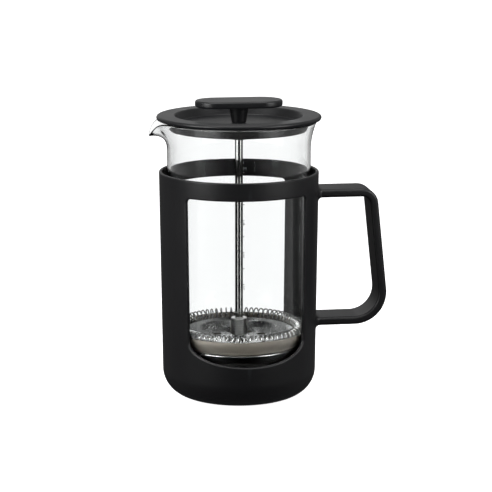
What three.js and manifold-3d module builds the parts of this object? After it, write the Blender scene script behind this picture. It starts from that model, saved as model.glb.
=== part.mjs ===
// French press: a glass beaker in a moulded holder with a loop handle, a dished lid,
// and a plunger whose mesh filter is pressed against the glass by a coil spring.
// Millimetres, +Z up. Origin: centre of the base, on the table. The handle points along
// +X, the pouring spout along -X, and the holder's two windows face -Y and +Y.
import * as THREE from 'three';
import * as BufferGeometryUtils from 'three/addons/utils/BufferGeometryUtils.js';
import Module from 'manifold-3d';

const wasm = await Module();
wasm.setup();

// ---------------------------------------------------------------- driving dimensions
const pieceGap = 0.3;            // between pieces that touch
const roundSteps = 48;           // facets round a big turned piece
const beakerSteps = 56;          // facets round the beaker, closer together at its spout
const smallSteps = 20;           // facets round a small one
const holeSteps = 8;
const filterSteps = 36;          // facets round the filter's thin discs

// beaker
const beakerRadius = 42;
const beakerHeight = 160.3;
const glassWall = 1.8;
const beakerFloor = 2.6;
const beakerCorner = 12;
const flareHeight = 17;          // the wall opens out over this height below the lip
const flareOut = 3.3;
const spoutReach = 6.8;           // beyond the lip
const spoutDroop = 7.5;          // the tip is this much lower than the lip
const spoutHalfAngle = 28;       // degrees of the lip that the spout takes on each side
const spoutDepth = 19;           // height of wall that the spout takes

// holder
const beakerShow = 29.8;         // height of beaker above the holder's rim
const holderWall = 1.9;          // at the rim
const holderFootWall = 2.2;
const holderRimGap = 2.9;        // radial gap between the beaker and the rim
const holderFootGap = 0.9;       // and between the beaker and the holder's foot
const holderCorner = 15.8;       // radius of the base's outer edge
const holderFloor = 3;
const rimRound = 0.8;

// windows of the holder
const windowHalfAngle = 49;      // degrees from the middle of a window to its side
const rimBand = 9.8;             // height of the band above the windows
const windowCorner = 3.6;        // radius of the two top corners
const windowBottom = 25.2;       // lowest point of the curved lower edge
const windowSweep = 13;          // height of the half ellipse that closes it below

// handle
const handleWidth = 22;
const handleThickness = 4.9;
const handleBelowRim = 10.9;
const handleBottom = 41.3;
const handleReach = 40.2;        // from the holder's rim to the grip's outer face
const handleLean = 6;            // degrees that the grip leans outwards going down
const upperBend = 9.6;           // outer radii of the two bends
const lowerBend = 19;
const handleEdge = 1.6;          // round along the band's edges

// lid
const flangeOverhang = 2.8;      // beyond the beaker's lip
const flangeThickness = 2.7;
const plugWall = 3;              // from the plug's outside to the edge of the dish
const dishDraft = 1.3;           // the dish is this much narrower at its floor
const dishDepth = 4.9;
const dishFloor = 2.2;
const plugGap = 0.2;             // between the plug and the beaker's straight wall
const plugDepth = 5.8;
const plugLip = 1.6;             // width of the ring under the plug
const bossRadius = 6;
const bossDepth = 6.8;           // rod guide under the dish

// knob
const knobLength = 51.3;
const knobWidth = 25.3;
const knobThickness = 4;
const knobEdge = 1.2;
const stemHeight = 9.4;
const stemTopRadius = 5.8;
const stemFootRadius = 4.25;
const knobSkin = 1.6;            // plastic above the rod's end

// rod and filter, pressed down
const rodRadius = 2.33;
const groundsRoom = 19.6;        // height left free over the beaker's floor
const screenThickness = 0.8;
const screenEdge = 0.3;          // the screen plate stands out from the mesh cup's foot
const screenHoleRadius = 2.4;
const screenRings = [[14, 8], [25, 14]];   // radius of the circle, holes on it
const meshThickness = 0.35;
const meshFlare = 3;             // the mesh cup's rim is this much wider than its foot
const meshCupHeight = 8.3;
const meshCorner = 1.4;
const plateThickness = 0.8;
const plateStepIn = 7.55;        // from the coil's centre line in to the foot of the step
const plateRimIn = 5.05;         // and in to the top of the step
const plateStepHeight = 4.3;
const plateHoleRadius = 2.7;
const plateHoleCircle = 17.6;
const plateHoles = 11;
const coilRadius = 3.2;          // outside of the coiled spring
const coilShell = 0.5;
const coilLift = 7.95;           // centre of the coil above the spring plate's underside
const starRadius = 8.7;
const starWaist = 5.6;           // radius between two petals
const starPetals = 6;
const starThickness = 0.9;
const starDroop = 1.2;
const hubRadius = 4.7;
const hubHeight = 10.2;
const hubChamfer = 0.5;
const nutHeight = 3.2;
const nutRadius = 4.6;           // over the corners
const rodTail = 1.2;             // thread that shows below the nut
const rodChamfer = 0.5;

// ---------------------------------------------------------------- derived levels and radii
const beakerBottom = holderFloor + pieceGap;
const insideFloor = beakerBottom + beakerFloor;
const lipTop = beakerBottom + beakerHeight;
const lipRadius = beakerRadius + flareOut;
const glassInside = beakerRadius - glassWall;
const holderHeight = lipTop - beakerShow;
const holderBaseRadius = beakerRadius + holderFootGap + holderFootWall;   // at the table
const holderRimRadius = beakerRadius + holderRimGap + holderWall;
const windowTop = holderHeight - rimBand;
const handleTop = holderHeight - handleBelowRim;
const flangeBottom = lipTop + pieceGap;
const flangeTop = flangeBottom + flangeThickness;
const dishTop = flangeTop - dishDepth;
const dishUnderside = dishTop - dishFloor;
const plugRadius = glassInside - plugGap;
const plugBottom = flangeBottom - plugDepth;
const flangeRadius = lipRadius + flangeOverhang;
const dishRadius = plugRadius - plugWall;
const bossBottom = dishUnderside - bossDepth;
const knobBottom = dishTop + pieceGap + stemHeight;
const knobTop = knobBottom + knobThickness;
const rodTop = knobTop - knobSkin - pieceGap;
const boreRadius = rodRadius + pieceGap;
const rodBottom = insideFloor + groundsRoom;
const nutTop = rodBottom + rodTail + nutHeight;
const filterBottom = nutTop + pieceGap;
const meshBottom = filterBottom + screenThickness + pieceGap;
const meshRimRadius = glassInside - pieceGap;
const meshFootRadius = meshRimRadius - meshFlare;
const screenRadius = meshFootRadius + screenEdge;
const plateBottom = meshBottom + meshThickness + pieceGap;
const coilCentreRadius = meshRimRadius - meshThickness - pieceGap - coilRadius;
const coilCentre = plateBottom + coilLift;
const plateFloorRadius = coilCentreRadius - plateStepIn;
const plateStepRadius = coilCentreRadius - plateRimIn;
const starBottom = plateBottom + plateThickness + pieceGap;
const hubBottom = starBottom + starDroop + starThickness + pieceGap;

// ---------------------------------------------------------------- helpers
const degrees = Math.PI / 180;

function point(r, z) {
  return new THREE.Vector2(r, z);
}

// points along an arc about (r, z), between two angles in degrees
function arc(r, z, radius, from, to, steps) {
  const points = [];
  for (let i = 0; i <= steps; i += 1) {
    const angle = (from + ((to - from) * i) / steps) * degrees;
    points.push(point(r + radius * Math.cos(angle), z + radius * Math.sin(angle)));
  }
  return points;
}

// a body turned about Z from a profile of (radius, height) points
function turned(profile, steps) {
  const geometry = new THREE.LatheGeometry(profile, steps);
  geometry.rotateX(Math.PI / 2);
  return geometry;
}

// the same from a ring's section, whose last point joins its first
function turnedRing(section, steps) {
  return turned([...section, section[0].clone()], steps);
}

// a flat outline in X and Y, raised to a thickness from the height given
function plateOf(shape, bottom, thickness, curveSteps, edge = 0) {
  const rounded = edge > 0;
  const geometry = new THREE.ExtrudeGeometry(shape, {
    depth: thickness - 2 * edge,
    curveSegments: curveSteps,
    bevelEnabled: rounded,
    bevelThickness: edge,
    bevelSize: edge,
    bevelOffset: -edge,
    bevelSegments: 2,
  });
  geometry.translate(0, 0, bottom + edge);
  return geometry;
}

// calls move(vertex) on each corner of a geometry
function reshape(geometry, move) {
  const places = geometry.attributes.position;
  const vertex = new THREE.Vector3();
  for (let i = 0; i < places.count; i += 1) {
    vertex.fromBufferAttribute(places, i);
    move(vertex);
    places.setXYZ(i, vertex.x, vertex.y, vertex.z);
  }
  return geometry;
}

function solidOf(geometry) {
  const bare = geometry.clone();
  bare.deleteAttribute('normal');
  bare.deleteAttribute('uv');
  const merged = BufferGeometryUtils.mergeVertices(bare, 1e-4);
  const corners = merged.index.array;
  const kept = [];
  for (let i = 0; i < corners.length; i += 3) {
    const [a, b, c] = [corners[i], corners[i + 1], corners[i + 2]];
    if (a !== b && b !== c && c !== a) kept.push(a, b, c);
  }
  return new wasm.Manifold(new wasm.Mesh({
    numProp: 3,
    vertProperties: new Float32Array(merged.attributes.position.array),
    triVerts: new Uint32Array(kept),
  }));
}

function geometryOf(solid) {
  const mesh = solid.getMesh();
  const geometry = new THREE.BufferGeometry();
  geometry.setAttribute('position', new THREE.BufferAttribute(mesh.vertProperties, 3));
  geometry.setIndex(new THREE.BufferAttribute(mesh.triVerts, 1));
  geometry.computeVertexNormals();
  return geometry;
}

function roundBar(radius, bottom, top, steps) {
  const geometry = new THREE.CylinderGeometry(radius, radius, top - bottom, steps);
  geometry.rotateX(Math.PI / 2);
  geometry.translate(0, 0, (top + bottom) / 2);
  return geometry;
}

// ---------------------------------------------------------------- materials
const blackPlastic = new THREE.MeshStandardMaterial({
  color: 0x1f2022, roughness: 0.5, metalness: 0,
});
const glass = new THREE.MeshStandardMaterial({
  color: 0xeef3f4, roughness: 0.05, metalness: 0, transparent: true, opacity: 0.25,
});
const steel = new THREE.MeshStandardMaterial({
  color: 0xc9ccd0, roughness: 0.25, metalness: 1,
});
const wireMesh = new THREE.MeshStandardMaterial({
  color: 0x9a948b, roughness: 0.55, metalness: 1,
});

const press = new THREE.Group();

function addPiece(name, geometry, material) {
  const mesh = new THREE.Mesh(geometry, material);
  mesh.name = name;
  press.add(mesh);
}

// ---------------------------------------------------------------- holder
function holderOutside(z) {
  return holderBaseRadius + ((holderRimRadius - holderBaseRadius) * z) / holderHeight;
}

// the holder's outer line from the middle of its base to its rim, grown by the allowance
function holderOutline(allowance) {
  const corner = holderCorner + allowance;
  const middle = holderOutside(holderCorner) - holderCorner;
  return [
    point(0, -allowance),
    ...arc(middle, holderCorner, corner, -90, 0, 7),
    point(holderRimRadius + allowance, holderHeight - rimRound),
  ];
}

// one window's cutter: a box bent round the axis, its top and bottom faces following the
// window's outline, facing -Y
function windowCutter() {
  const cutter = new THREE.BoxGeometry(1, 1, 1, 28, 1, 1);
  const inner = glassInside;
  const outer = holderRimRadius + holderWall;
  return reshape(cutter, (vertex) => {
    const across = Math.sin(vertex.x * Math.PI);
    const angle = windowHalfAngle * degrees * across;
    const fromSide = (1 - Math.abs(across)) * windowHalfAngle * degrees * holderRimRadius;
    const into = Math.max(windowCorner - fromSide, 0);
    const high = windowTop - windowCorner + Math.sqrt(windowCorner ** 2 - into ** 2);
    const low = windowBottom + windowSweep * (1 - Math.sqrt(1 - across ** 2));
    const radius = outer + (inner - outer) * (vertex.y + 0.5);
    const height = low + (high - low) * (vertex.z + 0.5);
    vertex.set(radius * Math.sin(angle), -radius * Math.cos(angle), height);
  });
}

function makeHolder() {
  const footInside = beakerRadius + holderFootGap;
  const rimInside = holderRimRadius - holderWall;
  const roundLevel = holderHeight - rimRound;
  const profile = [
    ...holderOutline(0).slice(0, -1),
    ...arc(holderRimRadius - rimRound, roundLevel, rimRound, 0, 90, 2),
    ...arc(rimInside + rimRound, roundLevel, rimRound, 90, 180, 2),
    ...arc(footInside - beakerCorner, holderFloor + beakerCorner, beakerCorner, 0, -90, 4),
    point(0, holderFloor),
  ];
  const front = windowCutter();
  const back = windowCutter().rotateZ(Math.PI);
  return geometryOf(solidOf(turned(profile, roundSteps))
    .subtract(solidOf(front))
    .subtract(solidOf(back)));
}

// ---------------------------------------------------------------- handle
function makeHandle() {
  const lean = handleLean * degrees;
  const lowerX = holderRimRadius + handleReach - lowerBend;
  const lowerZ = handleBottom + lowerBend;
  const upperZ = handleTop - upperBend;
  // the grip's straight outer face touches both bends
  const faceDistance = Math.cos(lean) * lowerX + Math.sin(lean) * lowerZ + lowerBend;
  const upperX = (faceDistance - upperBend - Math.sin(lean) * upperZ) / Math.cos(lean);
  const root = beakerRadius;
  const outline = new THREE.Shape();
  outline.moveTo(root, handleTop);
  outline.absarc(upperX, upperZ, upperBend, Math.PI / 2, lean, true);
  outline.absarc(lowerX, lowerZ, lowerBend, lean, -Math.PI / 2, true);
  outline.lineTo(root, handleBottom);
  outline.lineTo(root, handleBottom + handleThickness);
  outline.absarc(lowerX, lowerZ, lowerBend - handleThickness, -Math.PI / 2, lean, false);
  outline.absarc(upperX, upperZ, upperBend - handleThickness, lean, Math.PI / 2, false);
  outline.lineTo(root, handleTop - handleThickness);
  const band = plateOf(outline, -handleWidth / 2, handleWidth, 7, handleEdge);
  band.rotateX(Math.PI / 2);
  const holderSpace = turned([...holderOutline(pieceGap), point(0, holderHeight - rimRound)],
    roundSteps);
  return geometryOf(solidOf(band).subtract(solidOf(holderSpace)));
}

// ---------------------------------------------------------------- beaker
function flareAt(level) {
  const rise = Math.max(level, 0);
  return flareOut * rise ** 2;
}

// pulls the lip out and down into the pouring spout, and packs the facets closer there;
// the wall leans over with the spout, so it keeps its thickness
function pullSpout(vertex) {
  const radius = Math.hypot(vertex.x, vertex.y);
  const evenAngle = Math.atan2(vertex.y, -vertex.x);
  const angle = evenAngle - 0.5 * Math.sin(evenAngle);
  const nearness = Math.min(Math.abs(angle) / (spoutHalfAngle * degrees), 1);
  const swell = 0.5 + 0.5 * Math.cos(Math.PI * nearness);
  const reach = spoutReach * swell ** 1.4;
  const droop = spoutDroop * swell ** 2.4;
  const wallEnd = lipTop - glassWall / 2;
  const spoutFoot = lipTop - spoutDepth;
  const wallLength = wallEnd - spoutFoot;
  const pastEnd = Math.max(vertex.z - wallEnd, 0);
  const level = vertex.z - pastEnd;
  const rise = Math.max((level - spoutFoot) / wallLength, 0);
  const outside = beakerRadius + flareAt((level - lipTop + flareHeight) / (flareHeight - glassWall / 2));
  const depth = outside - radius;
  const lean = Math.atan2(2.8 * reach * rise ** 1.8 / wallLength, 1 - 2.8 * droop * rise ** 1.8 / wallLength);
  const reached = outside + reach * rise ** 2.8 - depth * Math.cos(lean) + pastEnd * Math.sin(lean);
  const lowered = level - droop * rise ** 2.8 + depth * Math.sin(lean) + pastEnd * Math.cos(lean);
  vertex.set(-reached * Math.cos(angle), reached * Math.sin(angle), lowered);
}

function makeBeaker() {
  const lipRound = glassWall / 2;
  const flareFoot = lipTop - flareHeight;
  const flareLength = flareHeight - lipRound;
  const flareSteps = 6;
  const levels = [];
  for (let i = 0; i <= flareSteps; i += 1) levels.push(i / flareSteps);
  const outside = levels.map((level) => point(beakerRadius + flareAt(level),
    flareFoot + flareLength * level));
  const inside = levels.map((level) => point(glassInside + flareAt(level),
    flareFoot + flareLength * level)).reverse();
  const lipMiddle = lipRadius - lipRound;
  const insideCorner = beakerCorner - glassWall;
  const profile = [
    point(0, beakerBottom),
    ...arc(beakerRadius - beakerCorner, beakerBottom + beakerCorner, beakerCorner, -90, 0, 4),
    ...outside,
    ...arc(lipMiddle, lipTop - lipRound, lipRound, 0, 180, 3).slice(1, -1),
    ...inside,
    ...arc(glassInside - insideCorner, insideFloor + insideCorner, insideCorner, 0, -90, 3),
    point(0, insideFloor),
  ];
  return reshape(turned(profile, beakerSteps), pullSpout);
}

// ---------------------------------------------------------------- lid
function makeLid() {
  const edge = flangeThickness / 2;
  const section = [
    point(boreRadius, bossBottom),
    point(bossRadius, bossBottom),
    point(bossRadius, dishUnderside),
    point(plugRadius - plugLip, dishUnderside),
    point(plugRadius - plugLip, plugBottom),
    ...arc(plugRadius - 1, plugBottom + 1, 1, -90, 0, 2),
    point(plugRadius, flangeBottom),
    ...arc(flangeRadius - edge, flangeBottom + edge, edge, -90, 90, 4),
    ...arc(dishRadius + 1, flangeTop - 1, 1, 90, 180, 2),
    point(dishRadius - dishDraft, dishTop),
    point(boreRadius, dishTop),
  ];
  return turnedRing(section, roundSteps);
}

// ---------------------------------------------------------------- knob
function makeKnob() {
  const end = knobWidth / 2;
  const straight = knobLength / 2 - end;
  const outline = new THREE.Shape();
  outline.absarc(straight, 0, end, -Math.PI / 2, Math.PI / 2, false);
  outline.absarc(-straight, 0, end, Math.PI / 2, (3 * Math.PI) / 2, false);
  const bar = plateOf(outline, knobBottom, knobThickness, 12, knobEdge);
  const stemFoot = dishTop + pieceGap;
  const stem = turned([
    point(0, stemFoot),
    point(stemFootRadius, stemFoot),
    point(stemTopRadius, knobBottom),
    point(stemTopRadius, knobBottom + knobThickness / 2),
    point(0, knobBottom + knobThickness / 2),
  ], smallSteps);
  const bore = roundBar(boreRadius, stemFoot - 1, rodTop + pieceGap, smallSteps);
  return geometryOf(solidOf(bar).add(solidOf(stem)).subtract(solidOf(bore)));
}

// ---------------------------------------------------------------- rod, hub, star and nut
function makeRod() {
  return turned([
    point(0, rodBottom),
    point(rodRadius - rodChamfer, rodBottom),
    point(rodRadius, rodBottom + rodChamfer),
    point(rodRadius, rodTop - rodChamfer),
    point(rodRadius - rodChamfer, rodTop),
    point(0, rodTop),
  ], smallSteps);
}

function makeHub() {
  const top = hubBottom + hubHeight;
  return turnedRing([
    point(boreRadius, hubBottom),
    point(hubRadius, hubBottom),
    point(hubRadius, top - hubChamfer),
    point(hubRadius - hubChamfer, top),
    point(boreRadius, top),
  ], smallSteps);
}

// a domed washer with rounded petals that press on the spring plate
function makeStar() {
  const outline = new THREE.Shape();
  const steps = starPetals * 8;
  for (let i = 0; i < steps; i += 1) {
    const angle = (i / steps) * 2 * Math.PI;
    const swell = Math.sqrt(0.5 + 0.5 * Math.cos(starPetals * angle));
    const radius = starWaist + (starRadius - starWaist) * swell;
    if (i === 0) outline.moveTo(radius, 0);
    else outline.lineTo(radius * Math.cos(angle), radius * Math.sin(angle));
  }
  const hole = new THREE.Path();
  hole.absarc(0, 0, boreRadius, 0, 2 * Math.PI, true);
  outline.holes.push(hole);
  const flat = plateOf(outline, starBottom, starThickness, 10);
  return reshape(flat, (vertex) => {
    const outward = (Math.hypot(vertex.x, vertex.y) - boreRadius) / (starRadius - boreRadius);
    vertex.z += starDroop * (1 - Math.min(outward, 1));
  });
}

function makeNut() {
  const outline = new THREE.Shape();
  for (let i = 0; i < 6; i += 1) {
    const angle = (i / 6) * 2 * Math.PI;
    const [x, y] = [nutRadius * Math.cos(angle), nutRadius * Math.sin(angle)];
    if (i === 0) outline.moveTo(x, y);
    else outline.lineTo(x, y);
  }
  const hole = new THREE.Path();
  hole.absarc(0, 0, boreRadius, 0, 2 * Math.PI, true);
  outline.holes.push(hole);
  return plateOf(outline, nutTop - nutHeight, nutHeight, 8);
}

// ---------------------------------------------------------------- filter
function punch(plate, circle, holes, radius, bottom, top) {
  let cut = plate;
  for (let i = 0; i < holes; i += 1) {
    const angle = (i / holes) * 2 * Math.PI;
    const hole = roundBar(radius, bottom, top, holeSteps);
    hole.translate(circle * Math.cos(angle), circle * Math.sin(angle), 0);
    cut = cut.subtract(solidOf(hole));
  }
  return cut;
}

// the spring plate ends inside the coil, which grips its rim
const rimSlope = Math.atan2(coilLift - plateStepHeight - plateThickness / 2,
  coilCentreRadius - plateStepRadius);

function makeSpringPlate() {
  const half = plateThickness / 2;
  const middle = plateBottom + half;
  const centreLine = [
    point(boreRadius, middle),
    point(plateFloorRadius, middle),
    point(plateStepRadius, plateBottom + plateStepHeight + half),
    point(coilCentreRadius, coilCentre),
  ];
  const lower = centreLine.map((p) => point(p.x, p.y - half));
  const upper = centreLine.map((p) => point(p.x, p.y + half)).reverse();
  const plate = solidOf(turnedRing([...lower, ...upper], filterSteps));
  return geometryOf(punch(plate, plateHoleCircle, plateHoles, plateHoleRadius,
    plateBottom - 1, plateBottom + plateThickness + 1));
}

// the spring as the tube that its turns fill, open where the plate's rim goes in
function makeCoilSpring() {
  const towardsPlate = 180 + rimSlope / degrees;
  const slot = (plateThickness / 2) / Math.cos(rimSlope) + pieceGap;
  const inside = coilRadius - coilShell;
  const outerOpening = Math.asin(slot / coilRadius) / degrees;
  const innerOpening = Math.asin(slot / inside) / degrees;
  const section = [
    ...arc(coilCentreRadius, coilCentre, coilRadius, towardsPlate + outerOpening - 360,
      towardsPlate - outerOpening, 10),
    ...arc(coilCentreRadius, coilCentre, inside, towardsPlate - innerOpening,
      towardsPlate + innerOpening - 360, 6),
  ];
  return turnedRing(section, filterSteps);
}

function makeMeshFilter() {
  const top = meshBottom + meshCupHeight;
  const section = [
    point(boreRadius, meshBottom),
    point(meshFootRadius - meshCorner, meshBottom),
    point(meshFootRadius, meshBottom + meshCorner),
    point(meshRimRadius, top),
    point(meshRimRadius - meshThickness, top),
    point(meshFootRadius - meshThickness, meshBottom + meshCorner),
    point(meshFootRadius - meshCorner, meshBottom + meshThickness),
    point(boreRadius, meshBottom + meshThickness),
  ];
  return turnedRing(section, filterSteps);
}

function makeScreenPlate() {
  const top = filterBottom + screenThickness;
  let plate = solidOf(turnedRing([
    point(boreRadius, filterBottom),
    point(screenRadius, filterBottom),
    point(screenRadius, top),
    point(boreRadius, top),
  ], filterSteps));
  for (const [circle, holes] of screenRings) {
    plate = punch(plate, circle, holes, screenHoleRadius, filterBottom - 1, top + 1);
  }
  return geometryOf(plate);
}

// ---------------------------------------------------------------- assembly
addPiece('holder', makeHolder(), blackPlastic);
addPiece('handle', makeHandle(), blackPlastic);
addPiece('beaker', makeBeaker(), glass);
addPiece('lid', makeLid(), blackPlastic);
addPiece('knob', makeKnob(), blackPlastic);
addPiece('rod', makeRod(), steel);
addPiece('hub', makeHub(), steel);
addPiece('star_washer', makeStar(), steel);
addPiece('spring_plate', makeSpringPlate(), steel);
addPiece('coil_spring', makeCoilSpring(), steel);
addPiece('mesh_filter', makeMeshFilter(), wireMesh);
addPiece('screen_plate', makeScreenPlate(), steel);
addPiece('lock_nut', makeNut(), steel);

export default press;
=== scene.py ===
"""A glass coffee press: a beaker in a moulded holder, a dished lid, and a plunger with a sprung filter.

Sizes below are in millimetres; the finished pieces are in metres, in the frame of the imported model:
+Z up, the base on Z = 0, the handle along +X, the pouring spout along -X, the windows facing -Y and +Y.
"""

import math

import bmesh
import bpy
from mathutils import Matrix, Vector


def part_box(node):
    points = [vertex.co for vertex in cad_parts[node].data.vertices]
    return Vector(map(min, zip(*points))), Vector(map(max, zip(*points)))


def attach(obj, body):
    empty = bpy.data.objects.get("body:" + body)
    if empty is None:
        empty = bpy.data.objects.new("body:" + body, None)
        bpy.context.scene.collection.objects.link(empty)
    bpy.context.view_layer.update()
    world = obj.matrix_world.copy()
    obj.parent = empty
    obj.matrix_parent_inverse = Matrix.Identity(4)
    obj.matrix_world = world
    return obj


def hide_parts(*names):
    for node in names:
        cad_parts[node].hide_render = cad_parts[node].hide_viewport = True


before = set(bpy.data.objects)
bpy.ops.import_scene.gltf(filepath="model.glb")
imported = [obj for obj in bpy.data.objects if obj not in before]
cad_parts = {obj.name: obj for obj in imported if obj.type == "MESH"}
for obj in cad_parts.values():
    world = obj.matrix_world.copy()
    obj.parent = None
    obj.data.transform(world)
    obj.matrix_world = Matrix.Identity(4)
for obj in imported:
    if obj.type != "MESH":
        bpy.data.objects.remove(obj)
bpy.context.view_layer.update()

MM = 0.001
BACKDROP_WHITE = 1.16    # brightness of what is seen behind the press
BIG_STEPS = 192          # facets round a big turned piece
SMALL_STEPS = 64         # facets round the rod and what fits on it
SMOOTH_BELOW = 32.0      # degrees; a sharper fold than this shows as an edge

# holder and handle
HOLDER_FOOT_RADIUS = 45.1
HOLDER_FOOT_INSIDE = 42.9
HOLDER_RIM_WALL = 1.9
HOLDER_CORNER = 15.8
HOLDER_INSIDE_CORNER = 12.0
HOLDER_FLOOR = 3.0
RIM_ROUND = 0.8
WALL_ROWS = 22
WINDOW_HALF_ANGLE = 49.0
WINDOW_COLUMNS = 128
WINDOW_BAND = 9.8        # height of the band above a window
WINDOW_CORNER = 3.6
WINDOW_BOTTOM = 25.2
WINDOW_SWEEP = 13.0      # height of the half ellipse that closes a window below
WINDOW_ROUND = 0.85      # round on the cut edges
HANDLE_WIDTH = 22.0
HANDLE_THICKNESS = 4.9
HANDLE_EDGE = 1.6
HANDLE_LEAN = 6.0
UPPER_BEND = 9.6
LOWER_BEND = 19.0
ROOT_FILLET = 2.4        # where the handle's band runs into the holder
ROOT_SINK = 1.2          # how deep the band starts inside the holder's wall

# beaker
GLASS_WALL = 1.8
BEAKER_RADIUS = 42.0
BEAKER_FLOOR = 2.6
BEAKER_CORNER = 12.0
BEAKER_STEPS = 224
FLARE_HEIGHT = 17.0
FLARE_OUT = 3.3
SPOUT_REACH = 6.8
SPOUT_DROOP = 7.5
SPOUT_HALF_ANGLE = 28.0
SPOUT_CURL = 2.8         # how late the wall turns over into the spout
SPOUT_THINNING = 0.4     # share of the wall lost at the tip, where the glass was drawn out
SPOUT_DEPTH = 19.0
SPOUT_PACKING = 0.5      # facets are closer together at the spout

# graduation on the back of the beaker
MARK_TOP = 125.7
MARK_STEP = 9.93
MARK_COUNT = 8
MARK_ANGLE = 10.2        # degrees from +Y towards +X to the middle of the column of marks
MARK_LENGTH = 3.4
MARK_HEIGHT = 0.55
INK_LIFT = 0.02
INK_THICKNESS = 0.03
NUMERAL_SIZE = 2.9
NUMERAL_DROP = 2.1       # middle of a numeral below its mark
LIMIT_RISE = 2.2         # middle of the word over the top mark
UNIT_RISE = 6.2          # and of the unit above it

# lid
PLUG_RADIUS = 40.0
PLUG_LIP = 1.6
DISH_RADIUS = 37.0
DISH_DRAFT = 1.3
DISH_FLOOR = 2.2
DISH_DEPTH = 4.9
FLANGE_THICKNESS = 2.7
PLUG_DEPTH = 5.8
BOSS_RADIUS = 6.0
BORE_RADIUS = 2.63
BORE_MOUTH = 0.3         # how far a bore opens at its mouth
BOSS_EDGE = 0.4
PLUG_EDGE = 0.8          # rounds inside the plug and on its lower edge
PLUG_LIP_EDGE = 0.3
DISH_LIP_ROUND = 1.2
DISH_FOOT_ROUND = 1.0

# knob
KNOB_THICKNESS = 4.0
KNOB_EDGE = 1.2
STEM_TOP_RADIUS = 5.8
STEM_FOOT_RADIUS = 4.25
STEM_FILLET = 1.2
STEM_EDGE = 0.4

# rod and filter
ROD_CHAMFER = 0.5
THREAD_PITCH = 0.8
THREAD_DEPTH = 0.3
HUB_CHAMFER = 0.5
HUB_FOOT_CHAMFER = 0.3
STAR_PETALS = 6
STAR_STEPS = 96          # facets round the star's edge
STAR_ROWS = 10           # rows from its bore to its edge
STAR_ROLLED_EDGE = 0.2
STAR_WAIST = 5.6
STAR_THICKNESS = 0.9
STAR_DROOP = 1.2
PLATE_THICKNESS = 0.8
PLATE_FLOOR_RADIUS = 28.5
PLATE_STEP_RADIUS = 31.0
PLATE_STEP_HEIGHT = 4.3
PLATE_HOLES = 11
PLATE_HOLE_RADIUS = 2.7
PLATE_HOLE_CIRCLE = 17.6
COIL_TURNS = 73
COIL_TURN_STEPS = 20
WIRE_RADIUS = 0.42
COIL_PROUD = 0.2         # how far the wire bulges past the plain ring
WIRE_SIDES = 8
MESH_THICKNESS = 0.35
MESH_CORNER = 1.4
SCREEN_HOLE_RADIUS = 2.4
SCREEN_RINGS = ((14.0, 8), (25.0, 14))
NUT_CHAMFER = 0.5
NUT_CHAMFER_HEIGHT = 0.35
NUT_STEPS = 60           # facets round the nut


# ------------------------------------------------------------------ shapes

def box_mm(node):
    """A CAD node's lowest and highest corners, in millimetres."""
    low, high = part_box(node)
    return low / MM, high / MM


def arc(r, z, radius, start, end, steps):
    """Points along an arc about (r, z), between two angles in degrees."""
    points = []
    for i in range(steps + 1):
        angle = math.radians(start + (end - start) * i / steps)
        points.append((r + radius * math.cos(angle), z + radius * math.sin(angle)))
    return points


def line(start, end, steps):
    """Points from start to end, both left out."""
    points = []
    for i in range(1, steps):
        share = i / steps
        points.append((start[0] + (end[0] - start[0]) * share, start[1] + (end[1] - start[1]) * share))
    return points


def turned(profile, steps, ring=False):
    """A body turned about Z from (radius, height) points; a ring's last point joins its first."""
    points = []
    rows = []
    for radius, height in profile:
        count = 1 if radius < 1e-6 else steps
        rows.append([len(points) + i for i in range(count)])
        for i in range(count):
            angle = 2 * math.pi * i / steps
            points.append((radius * math.cos(angle), radius * math.sin(angle), height))
    pairs = list(zip(rows, rows[1:]))
    if ring:
        pairs.append((rows[-1], rows[0]))
    faces = []
    for lower, upper in pairs:
        for i in range(steps):
            j = (i + 1) % steps
            corners = (lower[i % len(lower)], lower[j % len(lower)],
                       upper[j % len(upper)], upper[i % len(upper)])
            faces.append(tuple(dict.fromkeys(corners)))
    return points, faces


def stacked(rings, closed_ends=True):
    """A body through rings of points, each with the same count, with a face over each end."""
    count = len(rings[0])
    points = [point for ring in rings for point in ring]
    faces = []
    for level in range(len(rings) - 1):
        low = level * count
        high = low + count
        for i in range(count):
            j = (i + 1) % count
            faces.append((low + i, low + j, high + j, high + i))
    if closed_ends:
        faces.append(tuple(reversed(range(count))))
        faces.append(tuple(range(len(points) - count, len(points))))
    return points, faces


def make_piece(name, shape, material=None):
    """An object in metres from points in millimetres and faces, with its normals facing out."""
    points, faces = shape
    mesh = bpy.data.meshes.new(name)
    mesh.from_pydata([Vector(point) * MM for point in points], [], faces)
    tidy = bmesh.new()
    tidy.from_mesh(mesh)
    bmesh.ops.recalc_face_normals(tidy, faces=tidy.faces)
    tidy.to_mesh(mesh)
    tidy.free()
    piece = bpy.data.objects.new(name, mesh)
    bpy.context.scene.collection.objects.link(piece)
    if material:
        mesh.materials.append(material)
    return piece


def carve(piece, tool, operation="DIFFERENCE"):
    """Cuts the tool out of the piece, or joins it on, and throws the tool away."""
    change = piece.modifiers.new("carve", "BOOLEAN")
    change.operation = operation
    change.solver = "EXACT"
    change.object = tool
    graph = bpy.context.evaluated_depsgraph_get()
    carved = bpy.data.meshes.new_from_object(piece.evaluated_get(graph))
    piece.modifiers.clear()
    before = piece.data
    carved.name = before.name + "_carved"
    piece.data = carved
    bpy.data.meshes.remove(before)
    bpy.data.objects.remove(tool)


def smooth(piece, weighted=False):
    """Smooth shading that keeps real edges; weighted lets the large faces stay true."""
    piece.data.shade_smooth()
    piece.data.set_sharp_from_angle(angle=math.radians(SMOOTH_BELOW))
    if weighted:
        normals = piece.modifiers.new("true large faces", "WEIGHTED_NORMAL")
        normals.keep_sharp = True


def place(piece, body, slot, *nodes):
    """Hangs the piece on the body it moves with and hides the CAD nodes it stands for; slot, which names its
    finish, is not used.
    """
    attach(piece, body)
    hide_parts(*nodes)


# ------------------------------------------------------------------ materials

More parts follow.
